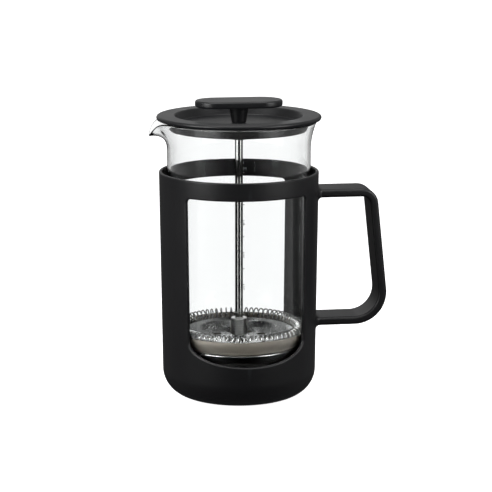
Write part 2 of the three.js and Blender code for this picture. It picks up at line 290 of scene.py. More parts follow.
def linear(colour):
    """An sRGB hex colour as the linear one that a shader takes."""
    channels = []
    for start in (1, 3, 5):
        value = int(colour[start:start + 2], 16) / 255
        channels.append(value / 12.92 if value <= 0.04045 else ((value + 0.055) / 1.055) ** 2.4)
    return (*channels, 1.0)


def per_metre(size):
    """A texture's scale that gives features of this size in millimetres."""
    return 1 / (size * MM)


def add_node(tree, kind, settings=None, links=None):
    """Adds a node with its settings and links, and gives its outputs."""
    node = tree.nodes.new(kind)
    for name, value in (settings or {}).items():
        if isinstance(name, str) and hasattr(node, name):
            setattr(node, name, value)
        else:
            node.inputs[name].default_value = value
    for name, source in (links or {}).items():
        tree.links.new(source, node.inputs[name])
    return node.outputs


def new_material(name):
    material = bpy.data.materials.new(name)
    material.use_nodes = True
    material.node_tree.nodes.clear()
    return material, material.node_tree


def give_surface(tree, settings, links):
    surface = add_node(tree, "ShaderNodeBsdfPrincipled", settings, links)
    add_node(tree, "ShaderNodeOutputMaterial", {}, {"Surface": surface["BSDF"]})


def moulded_polypropylene(name, colour, edge_highlight_colour, roughness):
    """Polypropylene moulded in a spark-eroded tool: a fine even grain that breaks up a soft sheen."""
    material, tree = new_material(name)
    spot = add_node(tree, "ShaderNodeTexCoord")["Object"]
    # the grain is about 0.15 mm on the real one, and is drawn coarser so that it shows
    grain = add_node(tree, "ShaderNodeTexNoise", {"Scale": per_metre(0.45), "Detail": 2.0}, {"Vector": spot})
    flow = add_node(tree, "ShaderNodeTexNoise", {"Scale": per_metre(28), "Detail": 3.0}, {"Vector": spot})
    # sharp convex edges, found by pointiness: a little smoother there from wear, and lighter in colour as a
    # painted highlight
    edge = add_node(tree, "ShaderNodeMapRange",
                    {"From Min": 0.52, "From Max": 0.62, "To Min": 0.0, "To Max": 1.0},
                    {"Value": add_node(tree, "ShaderNodeNewGeometry")["Pointiness"]})
    # the edges take a lighter colour: a painted highlight along them
    shade = add_node(tree, "ShaderNodeMixRGB",
                     {"Color1": linear(colour), "Color2": linear(edge_highlight_colour)}, {"Fac": edge["Result"]})
    polish = add_node(tree, "ShaderNodeMapRange",
                      {"From Min": 0.3, "From Max": 0.7,
                       "To Min": roughness - 0.03, "To Max": roughness + 0.03},
                      {"Value": flow["Fac"]})
    wear = add_node(tree, "ShaderNodeMath", {"operation": "MULTIPLY_ADD", 1: -0.08},
                    {0: edge["Result"], 2: polish["Result"]})
    bump = add_node(tree, "ShaderNodeBump", {"Strength": 0.25, "Distance": 0.00004}, {"Height": grain["Fac"]})
    give_surface(tree, {"Metallic": 0.0, "IOR": 1.49},
                 {"Base Color": shade["Color"], "Roughness": wear["Value"], "Normal": bump["Normal"]})
    return material


def blown_borosilicate():
    """Borosilicate glass, blown and washed many times: clear, faintly wavy, dark only at its edges."""
    material, tree = new_material("blown_borosilicate")
    spot = add_node(tree, "ShaderNodeTexCoord")["Object"]
    wave = add_node(tree, "ShaderNodeTexNoise", {"Scale": per_metre(24), "Detail": 1.0}, {"Vector": spot})
    wash = add_node(tree, "ShaderNodeTexNoise", {"Scale": per_metre(9), "Detail": 4.0}, {"Vector": spot})
    haze = add_node(tree, "ShaderNodeMapRange",
                    {"From Min": 0.5, "From Max": 0.8, "To Min": 0.0, "To Max": 0.03},
                    {"Value": wash["Fac"]})
    bump = add_node(tree, "ShaderNodeBump", {"Strength": 0.1, "Distance": 0.0002}, {"Height": wave["Fac"]})
    give_surface(tree, {"Base Color": linear("#fcfdfd"), "Transmission Weight": 1.0, "IOR": 1.47},
                 {"Roughness": haze["Result"], "Normal": bump["Normal"]})
    return material


def fired_ink():
    """Ceramic ink fired on the glass: matt pale grey, thinner in places."""
    material, tree = new_material("fired_ink")
    spot = add_node(tree, "ShaderNodeTexCoord")["Object"]
    speckle = add_node(tree, "ShaderNodeTexNoise", {"Scale": per_metre(0.5), "Detail": 2.0}, {"Vector": spot})
    shade = add_node(tree, "ShaderNodeMixRGB",
                     {"Color1": linear("#8d9196"), "Color2": linear("#b4b8bc")}, {"Fac": speckle["Fac"]})
    bump = add_node(tree, "ShaderNodeBump", {"Strength": 0.2, "Distance": 0.00002},
                    {"Height": speckle["Fac"]})
    give_surface(tree, {"Roughness": 0.6, "IOR": 1.5},
                 {"Base Color": shade["Color"], "Normal": bump["Normal"]})
    return material


def stainless(name, grain, roughness, depth=0.15, colour="#c8c9c8", dull_colour="#aaaba9"):
    """Stainless steel; grain gives the mark's size in mm along X, Y and Z, long the way it was worked."""
    material, tree = new_material(name)
    spot = add_node(tree, "ShaderNodeTexCoord")["Object"]
    along = add_node(tree, "ShaderNodeMapping", {"Scale": [per_metre(size) for size in grain]},
                     {"Vector": spot})
    scratch = add_node(tree, "ShaderNodeTexNoise", {"Scale": 1.0, "Detail": 3.0},
                       {"Vector": along["Vector"]})
    stain = add_node(tree, "ShaderNodeTexNoise", {"Scale": per_metre(11), "Detail": 3.0}, {"Vector": spot})
    shade = add_node(tree, "ShaderNodeMixRGB",
                     {"Color1": linear(colour), "Color2": linear(dull_colour)}, {"Fac": stain["Fac"]})
    polish = add_node(tree, "ShaderNodeMapRange",
                      {"From Min": 0.3, "From Max": 0.7,
                       "To Min": roughness - 0.04, "To Max": roughness + 0.06},
                      {"Value": scratch["Fac"]})
    bump = add_node(tree, "ShaderNodeBump", {"Strength": depth, "Distance": 0.00003},
                    {"Height": scratch["Fac"]})
    give_surface(tree, {"Metallic": 1.0},
                 {"Base Color": shade["Color"], "Roughness": polish["Result"], "Normal": bump["Normal"]})
    return material


def turned_stainless():
    """Stainless steel cut on a lathe: fine rings round its axis."""
    material, tree = new_material("turned_stainless")
    spot = add_node(tree, "ShaderNodeTexCoord")["Object"]
    axes = add_node(tree, "ShaderNodeSeparateXYZ", {}, {"Vector": spot})
    flat = add_node(tree, "ShaderNodeCombineXYZ", {}, {"X": axes["X"], "Y": axes["Y"]})
    radius = add_node(tree, "ShaderNodeVectorMath", {"operation": "LENGTH"}, {0: flat["Vector"]})
    ring = add_node(tree, "ShaderNodeCombineXYZ", {}, {"X": radius["Value"], "Z": axes["Z"]})
    cut = add_node(tree, "ShaderNodeTexNoise", {"Scale": per_metre(0.3), "Detail": 2.0},
                   {"Vector": ring["Vector"]})
    polish = add_node(tree, "ShaderNodeMapRange",
                      {"From Min": 0.3, "From Max": 0.7, "To Min": 0.26, "To Max": 0.34},
                      {"Value": cut["Fac"]})
    shade = add_node(tree, "ShaderNodeMixRGB",
                     {"Color1": linear("#dfe0df"), "Color2": linear("#c8c9c8")}, {"Fac": cut["Fac"]})
    bump = add_node(tree, "ShaderNodeBump", {"Strength": 0.08, "Distance": 0.00003}, {"Height": cut["Fac"]})
    give_surface(tree, {"Metallic": 1.0},
                 {"Base Color": shade["Color"], "Roughness": polish["Result"], "Normal": bump["Normal"]})
    return material


def woven_wire_cloth():
    """Stainless wire cloth, tinted by coffee: a dull weave that scatters the light."""
    material, tree = new_material("woven_wire_cloth")
    # real wires are 0.15 mm apart, and are drawn at 0.55 mm so that they show
    wire_spacing = 0.55
    cup_radius = 38.0
    spot = add_node(tree, "ShaderNodeTexCoord")["Object"]
    axes = add_node(tree, "ShaderNodeSeparateXYZ", {}, {"Vector": spot})
    angle = add_node(tree, "ShaderNodeMath", {"operation": "ARCTAN2"}, {0: axes["Y"], 1: axes["X"]})
    uprights = add_node(tree, "ShaderNodeMath",
                        {"operation": "MULTIPLY", 1: round(2 * math.pi * cup_radius / wire_spacing)},
                        {0: angle["Value"]})
    levels = add_node(tree, "ShaderNodeMath",
                      {"operation": "MULTIPLY", 1: 2 * math.pi * per_metre(wire_spacing)}, {0: axes["Z"]})
    warp = add_node(tree, "ShaderNodeMath", {"operation": "SINE"}, {0: uprights["Value"]})
    weft = add_node(tree, "ShaderNodeMath", {"operation": "SINE"}, {0: levels["Value"]})
    weave = add_node(tree, "ShaderNodeMath", {"operation": "MULTIPLY"}, {0: warp["Value"], 1: weft["Value"]})
    height = add_node(tree, "ShaderNodeMapRange", {"From Min": -1.0, "From Max": 1.0},
                      {"Value": weave["Value"]})
    tint = add_node(tree, "ShaderNodeTexNoise", {"Scale": per_metre(7), "Detail": 4.0}, {"Vector": spot})
    coffee = add_node(tree, "ShaderNodeMixRGB",
                      {"Color1": linear("#d2cabd"), "Color2": linear("#b0a79b")}, {"Fac": tint["Fac"]})
    # darker where the weave lies low: painted shade in the hollows between the wires
    shade = add_node(tree, "ShaderNodeMixRGB",
                     {"Color1": linear("#8d867b")}, {"Fac": height["Result"], "Color2": coffee["Color"]})
    polish = add_node(tree, "ShaderNodeMapRange",
                      {"From Min": 0.3, "From Max": 0.7, "To Min": 0.42, "To Max": 0.58},
                      {"Value": tint["Fac"]})
    bump = add_node(tree, "ShaderNodeBump", {"Strength": 0.5, "Distance": 0.00012},
                    {"Height": height["Result"]})
    give_surface(tree, {"Metallic": 0.5},
                 {"Base Color": shade["Color"], "Roughness": polish["Result"], "Normal": bump["Normal"]})
    return material


HOLDER_PLASTIC = moulded_polypropylene("satin_black_polypropylene", "#0c0c0e", "#1c1d1f", 0.41)
LID_PLASTIC = moulded_polypropylene("fine_black_polypropylene", "#101113", "#1f2023", 0.36)
GLASS = blown_borosilicate()
INK = fired_ink()
DRAWN_STEEL = stainless("drawn_stainless", (0.35, 0.35, 30.0), 0.08, depth=0.04)
PRESSED_STEEL = stainless("pressed_stainless", (2.0, 2.0, 2.0), 0.22, depth=0.08, colour="#d8d9d8",
                          dull_colour="#bfc0bf")
SPRING_WIRE = stainless("spring_wire", (0.8, 0.8, 0.8), 0.18, colour="#dcdddc", dull_colour="#c4c5c4")
TURNED_STEEL = turned_stainless()
WIRE_CLOTH = woven_wire_cloth()


# ------------------------------------------------------------------ holder with its handle

def make_holder():
    low, high = box_mm("holder")
    height = high.z
    rim_radius = high.y
    slope = (rim_radius - HOLDER_FOOT_RADIUS) / height
    rim_level = height - RIM_ROUND
    rim_inside = rim_radius - HOLDER_RIM_WALL
    inside_level = HOLDER_FLOOR + HOLDER_INSIDE_CORNER
    inside_slope = (rim_inside - HOLDER_FOOT_INSIDE) / (rim_level - inside_level)

    def outside(z):
        return HOLDER_FOOT_RADIUS + slope * z

    def inside(z):
        return HOLDER_FOOT_INSIDE + inside_slope * (z - inside_level)

    corner = arc(outside(HOLDER_CORNER) - HOLDER_CORNER, HOLDER_CORNER, HOLDER_CORNER, -90, 0, 18)
    outer_rim = arc(rim_radius - RIM_ROUND, rim_level, RIM_ROUND, 0, 90, 5)
    inner_rim = arc(rim_inside + RIM_ROUND, rim_level, RIM_ROUND, 90, 180, 5)[1:]
    floor_corner = arc(HOLDER_FOOT_INSIDE - HOLDER_INSIDE_CORNER, inside_level,
                       HOLDER_INSIDE_CORNER, 0, -90, 12)
    profile = [(0, 0), *corner, *line(corner[-1], outer_rim[0], WALL_ROWS), *outer_rim, *inner_rim,
               *line(inner_rim[-1], floor_corner[0], WALL_ROWS), *floor_corner, (0, HOLDER_FLOOR)]
    holder = make_piece("holder_body", turned(profile, BIG_STEPS), HOLDER_PLASTIC)

    for turn in (0, math.pi):
        shape = window_shape(outside, inside, height - WINDOW_BAND, rim_radius, turn)
        carve(holder, make_piece("window_tool", shape))
    carve(holder, make_piece("handle_band", handle_shape(outside)), "UNION")
    smooth(holder, weighted=True)
    place(holder, "base", "holder_plastic", "holder", "handle")


def window_shape(outside, inside, top, radius, turn):
    """A window's cutter, bent round the axis, that leaves its cut edges rounded."""
    half = math.radians(WINDOW_HALF_ANGLE) * radius
    rounding = [(WINDOW_ROUND * (1 - math.cos(math.radians(a))), -WINDOW_ROUND * math.sin(math.radians(a)))
                for a in (22.5, 45, 67.5, 90)]
    clear = 3.0     # how far the cutter stands out on both sides of the wall
    skin = 0.01     # and where its plain part stops, just off the wall
    sections = [(outside, clear, 0), (outside, skin, 0)]
    sections += [(outside, -depth, grow) for depth, grow in rounding]
    sections += [(inside, depth, grow) for depth, grow in reversed(rounding)]
    sections += [(inside, -skin, 0), (inside, -clear, 0)]
    columns = []
    for i in range(WINDOW_COLUMNS + 1):
        across = math.sin(math.pi * (i / WINDOW_COLUMNS - 0.5))
        into = max(WINDOW_CORNER - half * (1 - abs(across)), 0) / WINDOW_CORNER
        rise = math.sqrt(max(1 - into * into, 0))
        side = math.copysign(1, across)
        dip = math.sqrt(max(1 - across * across, 0))
        length = math.hypot(across / half, dip / WINDOW_SWEEP)
        columns.append((
            (half * across, top - WINDOW_CORNER * (1 - rise), side * into, rise),
            (half * across, WINDOW_BOTTOM + WINDOW_SWEEP * (1 - dip),
             across / half / length, -dip / WINDOW_SWEEP / length),
        ))

    def bent(surface, offset, grow, column):
        along, z, sideways, upwards = column
        z += grow * upwards
        angle = (along + grow * sideways) / radius + turn
        reach = surface(z) + offset
        return (reach * math.sin(angle), -reach * math.cos(angle), z)

    rings = []
    for surface, offset, grow in sections:
        upper = [bent(surface, offset, grow, column[0]) for column in columns]
        lower = [bent(surface, offset, grow, column[1]) for column in columns]
        rings.append(upper + lower[::-1])
    points, faces = stacked(rings, closed_ends=False)
    count = len(rings[0])
    for first in (0, len(points) - count):
        for i in range(WINDOW_COLUMNS):
            faces.append((first + i, first + i + 1, first + count - 2 - i, first + count - 1 - i))
    return points, faces


def handle_shape(outside):
    """The handle's band from one root to the other, each root opening into the holder's wall."""
    low, high = box_mm("handle")
    half = HANDLE_THICKNESS / 2
    lean = math.radians(HANDLE_LEAN)
    lower_x = high.x - LOWER_BEND
    lower_z = low.z + LOWER_BEND
    upper_z = high.z - UPPER_BEND
    face = math.cos(lean) * lower_x + math.sin(lean) * lower_z + LOWER_BEND
    upper_x = (face - UPPER_BEND - math.sin(lean) * upper_z) / math.cos(lean)

    def section(grow):
        """Points round the band's section: across its thickness, and across its width."""
        corner = HANDLE_EDGE + grow
        thick = half + grow - corner
        wide = HANDLE_WIDTH / 2 + grow - corner
        points = []
        for start, (n, y) in zip((0, 90, 180, 270), ((1, 1), (-1, 1), (-1, -1), (1, -1))):
            points += arc(n * thick, y * wide, corner, start, start + 90, 6)
        return points

    def root(level, upwards):
        """Sections from inside the holder's wall out to the straight band."""
        rings = []
        steps = [(-ROOT_SINK, ROOT_FILLET), (-0.02, ROOT_FILLET)]
        for a in (15, 30, 45, 60, 75, 90):
            steps.append((ROOT_FILLET * (1 - math.cos(math.radians(a))),
                          ROOT_FILLET * (1 - math.sin(math.radians(a)))))
        for depth, grow in steps:
            ring = []
            for n, y in section(grow):
                z = level + upwards * n
                ring.append((math.sqrt((outside(z) + depth) ** 2 - y * y), y, z))
            rings.append(ring)
        far = outside(level) + 2.6 * ROOT_FILLET
        rings.append([(far, y, level + upwards * n) for n, y in section(0)])
        return rings

    def bend(x, z, radius, start, end, steps):
        rings = []
        for i in range(steps + 1):
            angle = start + (end - start) * i / steps
            out = (math.cos(angle), math.sin(angle))
            rings.append([(x + (radius - half + n) * out[0], y, z + (radius - half + n) * out[1])
                          for n, y in section(0)])
        return rings

    rings = root(high.z - half, 1)
    rings += bend(upper_x, upper_z, UPPER_BEND, math.pi / 2, lean, 16)
    rings += bend(lower_x, lower_z, LOWER_BEND, lean, -math.pi / 2, 26)
    rings += reversed(root(low.z + half, -1))
    return stacked(rings)


# ------------------------------------------------------------------ beaker and its print

def make_beaker():
    low, high = box_mm("beaker")
    lip_top = high.z
    bottom = low.z
    lip_radius = BEAKER_RADIUS + FLARE_OUT
    glass_inside = BEAKER_RADIUS - GLASS_WALL
    lip_round = GLASS_WALL / 2
    flare_foot = lip_top - FLARE_HEIGHT
    flare_length = FLARE_HEIGHT - lip_round
    levels = [i / 14 for i in range(15)]
    outer_flare = [(BEAKER_RADIUS + FLARE_OUT * level ** 2, flare_foot + flare_length * level)
                   for level in levels]
    inner_flare = [(r - GLASS_WALL, z) for r, z in reversed(outer_flare)]
    corner = arc(BEAKER_RADIUS - BEAKER_CORNER, bottom + BEAKER_CORNER, BEAKER_CORNER, -90, 0, 12)
    inside_corner = BEAKER_CORNER - GLASS_WALL
    inside_floor = bottom + BEAKER_FLOOR
    floor_corner = arc(glass_inside - inside_corner, inside_floor + inside_corner, inside_corner, 0, -90, 12)
    lip = arc(lip_radius - lip_round, lip_top - lip_round, lip_round, 0, 180, 8)[1:-1]
    profile = [(0, bottom), *corner, *line(corner[-1], outer_flare[0], 8), *outer_flare, *lip, *inner_flare,
               *line(inner_flare[-1], floor_corner[0], 8), *floor_corner, (0, inside_floor)]
    points, faces = turned(profile, BEAKER_STEPS)

    wall_end = lip_top - lip_round
    spout_foot = lip_top - SPOUT_DEPTH
    wall_length = wall_end - spout_foot

    def with_spout(point):
        """Pulls the lip out and down into the spout; the wall leans over and keeps its thickness."""
        x, y, z = point
        radius = math.hypot(x, y)
        even = math.atan2(y, -x)
        angle = even - SPOUT_PACKING * math.sin(even)
        near = min(abs(angle) / math.radians(SPOUT_HALF_ANGLE), 1)
        swell = 0.5 + 0.5 * math.cos(math.pi * near)
        reach = SPOUT_REACH * swell ** 0.95
        droop = SPOUT_DROOP * swell ** 3.6
        past_end = max(z - wall_end, 0)
        level = z - past_end
        rise = max((level - spout_foot) / wall_length, 0)
        flare = max((level - flare_foot) / flare_length, 0)
        outside = BEAKER_RADIUS + FLARE_OUT * flare ** 2
        thinned = 1 - SPOUT_THINNING * swell * rise ** 2
        depth = (outside - radius) * thinned
        past_end *= thinned
        steep = SPOUT_CURL * rise ** (SPOUT_CURL - 1) / wall_length
        lean = math.atan2(reach * steep, 1 - droop * steep)
        out = outside + reach * rise ** SPOUT_CURL - depth * math.cos(lean) + past_end * math.sin(lean)
        up = level - droop * rise ** SPOUT_CURL + depth * math.sin(lean) + past_end * math.cos(lean)
        return (-out * math.cos(angle), out * math.sin(angle), up)

    beaker = make_piece("beaker_glass", ([with_spout(point) for point in points], faces), GLASS)
    smooth(beaker)
    place(beaker, "glass", "beaker_glass", "beaker")


def make_print():
    """Marks, numerals and words of the scale, fired on the outside of the back wall."""
    points = []
    faces = []

    def on_wall(across, z, depth):
        """A point of the print; across runs the way the words read, from behind the press."""
        angle = math.radians(MARK_ANGLE) - across / BEAKER_RADIUS
        radius = BEAKER_RADIUS + INK_LIFT + depth
        return (radius * math.sin(angle), radius * math.cos(angle), z)

    def add(shape_points, shape_faces):
        first = len(points)
        points.extend(shape_points)
        faces.extend(tuple(first + corner for corner in face) for face in shape_faces)

    def add_mark(z, length, height):
        rings = []
        for i in range(7):
            across = length * (i / 6 - 0.5)
            rings.append([on_wall(across, z - height / 2, 0), on_wall(across, z + height / 2, 0),
                          on_wall(across, z + height / 2, INK_THICKNESS),
                          on_wall(across, z - height / 2, INK_THICKNESS)])
        add(*stacked(rings))

    def add_words(words, size, z):
        text = bpy.data.curves.new("words", "FONT")
        text.body = words
        text.size = size
        text.align_x = "CENTER"
        text.align_y = "CENTER"
        text.resolution_u = 3
        text.extrude = INK_THICKNESS / 2
        lettering = bpy.data.objects.new("words", text)
        flat = lettering.to_mesh()
        add([on_wall(v.co.x, z + v.co.y, v.co.z + INK_THICKNESS / 2) for v in flat.vertices],
            [tuple(face.vertices) for face in flat.polygons])
        lettering.to_mesh_clear()
        bpy.data.objects.remove(lettering)
        bpy.data.curves.remove(text)

    for i in range(MARK_COUNT):
        add_mark(MARK_TOP - MARK_STEP * i, MARK_LENGTH, MARK_HEIGHT)
    for i, words in ((3, "450"), (5, "350"), (7, "250")):
        add_words(words, NUMERAL_SIZE, MARK_TOP - MARK_STEP * i - NUMERAL_DROP)
    add_words("MAX", NUMERAL_SIZE, MARK_TOP + LIMIT_RISE)
    add_words("ml", NUMERAL_SIZE, MARK_TOP + UNIT_RISE)
    scale = make_piece("scale_print", (points, faces), INK)
    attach(scale, "glass")


# ------------------------------------------------------------------ lid and knob

def make_lid():
    low, high = box_mm("lid")
    flange_radius = high.x
    flange_top = high.z
    flange_bottom = flange_top - FLANGE_THICKNESS
    dish_top = flange_top - DISH_DEPTH
    dish_underside = dish_top - DISH_FLOOR
    plug_bottom = flange_bottom - PLUG_DEPTH
    edge = FLANGE_THICKNESS / 2
    wall_foot = DISH_RADIUS - DISH_DRAFT
    section = [
        (BORE_RADIUS, low.z + BORE_MOUTH), (BORE_RADIUS + BORE_MOUTH, low.z),
        *arc(BOSS_RADIUS - BOSS_EDGE, low.z + BOSS_EDGE, BOSS_EDGE, -90, 0, 3),
        *arc(BOSS_RADIUS + PLUG_EDGE, dish_underside - PLUG_EDGE, PLUG_EDGE, 180, 90, 4),
        *arc(PLUG_RADIUS - PLUG_LIP - PLUG_EDGE, dish_underside - PLUG_EDGE, PLUG_EDGE, 90, 0, 4),
        *arc(PLUG_RADIUS - PLUG_LIP + PLUG_LIP_EDGE, plug_bottom + PLUG_LIP_EDGE, PLUG_LIP_EDGE, 180, 270, 3),
        *arc(PLUG_RADIUS - PLUG_EDGE, plug_bottom + PLUG_EDGE, PLUG_EDGE, -90, 0, 5),
        (PLUG_RADIUS, flange_bottom - PLUG_LIP_EDGE),
        (PLUG_RADIUS + PLUG_LIP_EDGE, flange_bottom),
        *arc(flange_radius - edge, flange_bottom + edge, edge, -90, 90, 14),
        *arc(DISH_RADIUS + DISH_LIP_ROUND, flange_top - DISH_LIP_ROUND, DISH_LIP_ROUND, 90, 165, 7),
        *arc(wall_foot - DISH_FOOT_ROUND - 0.1, dish_top + DISH_FOOT_ROUND, DISH_FOOT_ROUND, -15, -90, 6),
        *arc(BORE_RADIUS + BORE_MOUTH, dish_top - BORE_MOUTH, BORE_MOUTH, 90, 180, 3),
    ]
    lid = make_piece("lid_cover", turned(section, BIG_STEPS, ring=True), LID_PLASTIC)
    smooth(lid, weighted=True)
    place(lid, "cover", "lid_plastic", "lid")


def make_knob():
    low, high = box_mm("knob")
    top = high.z
    bottom = top - KNOB_THICKNESS
    end = high.y
    straight = high.x - end

    def outline(inset, z):
        points = []
        for middle, start in ((straight, -90), (-straight, 90)):
            points += [(x, y, z) for x, y in arc(middle, 0, end - inset, start, start + 180, 36)]
        return points

    rings = []
    for a in (-90, -67.5, -45, -22.5, 0):
        rings.append(outline(KNOB_EDGE * (1 - math.cos(math.radians(a))),
                             bottom + KNOB_EDGE * (1 + math.sin(math.radians(a)))))
    for a in (0, 22.5, 45, 67.5, 90):
        rings.append(outline(KNOB_EDGE * (1 - math.cos(math.radians(a))),
                             top - KNOB_EDGE * (1 - math.sin(math.radians(a)))))
    knob = make_piece("knob_bar", stacked(rings), LID_PLASTIC)
    stem = [
        (0, low.z), *arc(STEM_FOOT_RADIUS - STEM_EDGE, low.z + STEM_EDGE, STEM_EDGE, -90, 0, 3),
        (STEM_TOP_RADIUS - 0.25, bottom - STEM_FILLET),
        *arc(STEM_TOP_RADIUS + STEM_FILLET - 0.2, bottom - STEM_FILLET, STEM_FILLET, 170, 92, 5),
        (STEM_TOP_RADIUS + STEM_FILLET - 0.2, bottom + 0.3), (0, bottom + 0.3),
    ]
    carve(knob, make_piece("stem", turned(stem, SMALL_STEPS)), "UNION")
    rod_low, rod_high = box_mm("rod")
    bore_top = rod_high.z + 0.3
    bore = [(0, low.z - 1), (BORE_RADIUS, low.z - 1), (BORE_RADIUS, bore_top), (0, bore_top)]
    carve(knob, make_piece("bore", turned(bore, SMALL_STEPS)))
    smooth(knob, weighted=True)
    place(knob, "plunger", "lid_plastic", "knob")


# ------------------------------------------------------------------ rod, hub, star washer and nut

def make_rod():
    low, high = box_mm("rod")
    nut_low, nut_high = box_mm("lock_nut")
    radius = high.x
    thread_root = radius - THREAD_DEPTH
    thread = []
    z = low.z + ROD_CHAMFER
    while z < nut_high.z + THREAD_PITCH:
        thread += [(thread_root, z), (radius, z + THREAD_PITCH / 2)]
        z += THREAD_PITCH
    profile = [(0, low.z), (thread_root - 0.2, low.z), *thread, (radius, z),
               *line((radius, z), (radius, high.z - ROD_CHAMFER), 12), (radius, high.z - ROD_CHAMFER),
               (radius - ROD_CHAMFER, high.z), (0, high.z)]
    rod = make_piece("plunger_rod", turned(profile, SMALL_STEPS), DRAWN_STEEL)
    smooth(rod)
    place(rod, "plunger", "steel", "rod")


def make_hub():
    low, high = box_mm("hub")
    radius = high.x
    section = [
        (BORE_RADIUS, low.z), (radius - HUB_FOOT_CHAMFER, low.z), (radius, low.z + HUB_FOOT_CHAMFER),
        (radius, high.z - HUB_CHAMFER),
        *arc(radius - HUB_CHAMFER, high.z - HUB_CHAMFER, HUB_CHAMFER, 15, 90, 4),
        (BORE_RADIUS + BORE_MOUTH, high.z), (BORE_RADIUS, high.z - BORE_MOUTH),
    ]
    hub = make_piece("clamp_hub", turned(section, SMALL_STEPS, ring=True), TURNED_STEEL)
    smooth(hub, weighted=True)
    place(hub, "plunger", "steel", "hub")


def make_star_washer():
    low, high = box_mm("star_washer")
    reach = high.x

    def spot(i, share, side):
        angle = 2 * math.pi * i / STAR_STEPS
        swell = math.sqrt(0.5 + 0.5 * math.cos(STAR_PETALS * angle))
        outer = STAR_WAIST + (reach - STAR_WAIST) * swell
        radius = BORE_RADIUS + (outer - BORE_RADIUS) * share
        rise = STAR_DROOP * (1 - min((radius - BORE_RADIUS) / (reach - BORE_RADIUS), 1) ** 1.5)
        return (radius * math.cos(angle), radius * math.sin(angle), low.z + rise + side * STAR_THICKNESS)

    rings = [[spot(i, row / STAR_ROWS, 0) for i in range(STAR_STEPS)] for row in range(STAR_ROWS + 1)]
    rings += [[spot(i, row / STAR_ROWS, 1) for i in range(STAR_STEPS)] for row in range(STAR_ROWS, -1, -1)]
    points, faces = stacked(rings, closed_ends=False)
    last = len(points) - STAR_STEPS
    for i in range(STAR_STEPS):
        j = (i + 1) % STAR_STEPS
        faces.append((last + i, last + j, j, i))
    star = make_piece("star_spring", (points, faces), PRESSED_STEEL)
    rounded = star.modifiers.new("rolled edge", "BEVEL")
    rounded.width = STAR_ROLLED_EDGE * MM
    rounded.segments = 2
    rounded.angle_limit = math.radians(50)
    smooth(star)
    place(star, "plunger", "steel", "star_washer")


def make_nut():
    low, high = box_mm("lock_nut")
    radius = high.x

    def hexagon(across, z):
        """A ring with the hexagon's corners cut back to the radius given."""
        points = []
        for i in range(NUT_STEPS):
            angle = 2 * math.pi * i / NUT_STEPS
            turn = (angle % (math.pi / 3)) - math.pi / 6
            side = radius * math.cos(math.pi / 6) / math.cos(turn)
            points.append((min(side, across) * math.cos(angle), min(side, across) * math.sin(angle), z))
        return points

    bore = arc(0, 0, BORE_RADIUS, 0, 360, NUT_STEPS)[:-1]
    rings = [
        [(x, y, low.z) for x, y in bore], hexagon(radius - NUT_CHAMFER, low.z),
        hexagon(radius, low.z + NUT_CHAMFER_HEIGHT), hexagon(radius, high.z - NUT_CHAMFER_HEIGHT),
        hexagon(radius - NUT_CHAMFER, high.z), [(x, y, high.z) for x, y in bore],
    ]
    points, faces = stacked(rings, closed_ends=False)
    last = len(points) - NUT_STEPS
    for i in range(NUT_STEPS):
        j = (i + 1) % NUT_STEPS
        faces.append((last + i, last + j, j, i))
    nut = make_piece("hex_nut", (points, faces), TURNED_STEEL)
    smooth(nut, weighted=True)
    place(nut, "plunger", "steel", "lock_nut")


# ------------------------------------------------------------------ filter

def punch(piece, circle, holes, radius, low, high):
    """Round holes, evenly round a circle, between two heights."""
    for i in range(holes):
        angle = 2 * math.pi * i / holes
        points, faces = turned([(0, low), (radius, low), (radius, high), (0, high)], 28)
        shift = Vector((circle * math.cos(angle), circle * math.sin(angle), 0))
        carve(piece, make_piece("punch", ([Vector(point) + shift for point in points], faces)))


def make_spring_plate():
    low, high = box_mm("spring_plate")
    coil_low, coil_high = box_mm("coil_spring")
    coil_radius = (coil_high.z - coil_low.z) / 2
    coil_centre = coil_high.y - coil_radius
    half = PLATE_THICKNESS / 2
    middle = low.z + half
    step_top = middle + PLATE_STEP_HEIGHT
    rise = (coil_low.z + coil_radius - step_top) / (coil_centre - PLATE_STEP_RADIUS)
    rim = coil_centre - coil_radius - 0.5
    centre_line = [(BORE_RADIUS, middle), (12, middle), (22, middle), (PLATE_FLOOR_RADIUS - 1, middle),
                   (PLATE_FLOOR_RADIUS, middle + 0.35), (PLATE_STEP_RADIUS - 0.6, step_top - 0.7),
                   (PLATE_STEP_RADIUS, step_top - 0.1), (PLATE_STEP_RADIUS + 0.5, step_top + 0.3),
                   (rim, step_top + (rim - PLATE_STEP_RADIUS) * rise + 0.1)]
    lower = [(r, z - half) for r, z in centre_line]
    upper = [(r, z + half) for r, z in reversed(centre_line)]
    plate = make_piece("spring_plate_disc", turned([*lower, *upper], BIG_STEPS, ring=True), PRESSED_STEEL)
    punch(plate, PLATE_HOLE_CIRCLE, PLATE_HOLES, PLATE_HOLE_RADIUS, low.z - 1, low.z + PLATE_THICKNESS + 1)
    smooth(plate, weighted=True)
    place(plate, "plunger", "steel", "spring_plate")


